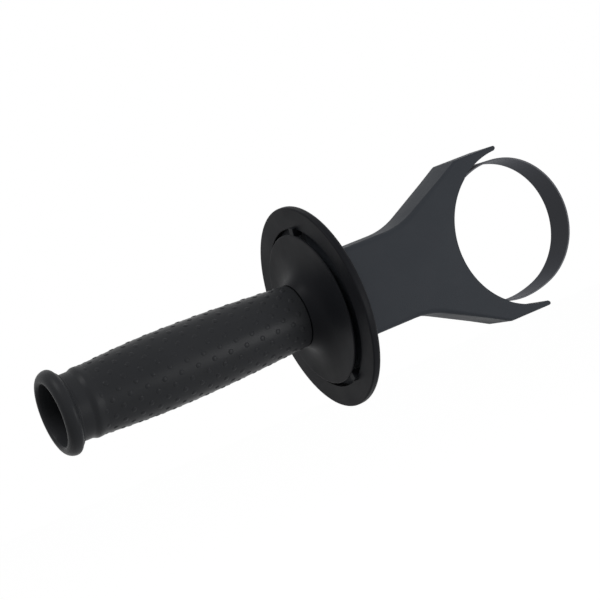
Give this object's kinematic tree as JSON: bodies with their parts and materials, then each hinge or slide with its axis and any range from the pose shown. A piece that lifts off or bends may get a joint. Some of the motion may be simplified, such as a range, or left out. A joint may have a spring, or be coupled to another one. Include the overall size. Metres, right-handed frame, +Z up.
{
  "type": "power tool side handle",
  "caption": "Side handle for a heavy power tool: pimpled soft grip, bell guard with a slotted ring, and a fork body whose steel strap clamps a round tool collar when the grip is turned.",
  "frame": {"origin": "centre of the clamp ring, on the tool's axis and on the handle's axis", "axes": "+X from the grip along the handle's axis to the ring; Y along the tool's axis; +Z up, along the fork's spread"},
  "size_m": [0.2746, 0.0968, 0.0968],
  "materials": {
    "moulded_body": "fine matt glass-filled nylon, charcoal",
    "moulded_core": "satin moulded nylon, charcoal",
    "soft_grip": "soft elastomer with raised pimples, charcoal",
    "strap_steel": "dark blackened spring steel strip",
    "zinc_steel": "bright zinc-plated steel"
  },
  "bodies": {
    "clamp": {"clamp_body": "moulded_body"},
    "strap": {"clamp_strap": "strap_steel", "tension_bolt": "zinc_steel"},
    "grip": {"handle_core": "moulded_core", "grip_sleeve": "soft_grip", "hex_nut": "zinc_steel", "thrust_washer": "zinc_steel"}
  },
  "joints": [
    {"name": "grip_turn", "type": "hinge", "parent": "clamp", "child": "grip", "pos_m": [0, 0, 0], "axis": [1, 0, 0], "range_deg": [-1080, 720]},
    {"name": "strap_slide", "type": "slide", "parent": "clamp", "child": "strap", "axis": [1, 0, 0], "range_m": [-0.00252, 0.00377]}
  ],
  "couplings": [
    {"joint": "strap_slide", "follows": "grip_turn", "m_per_rad": -0.00019894}
  ]
}
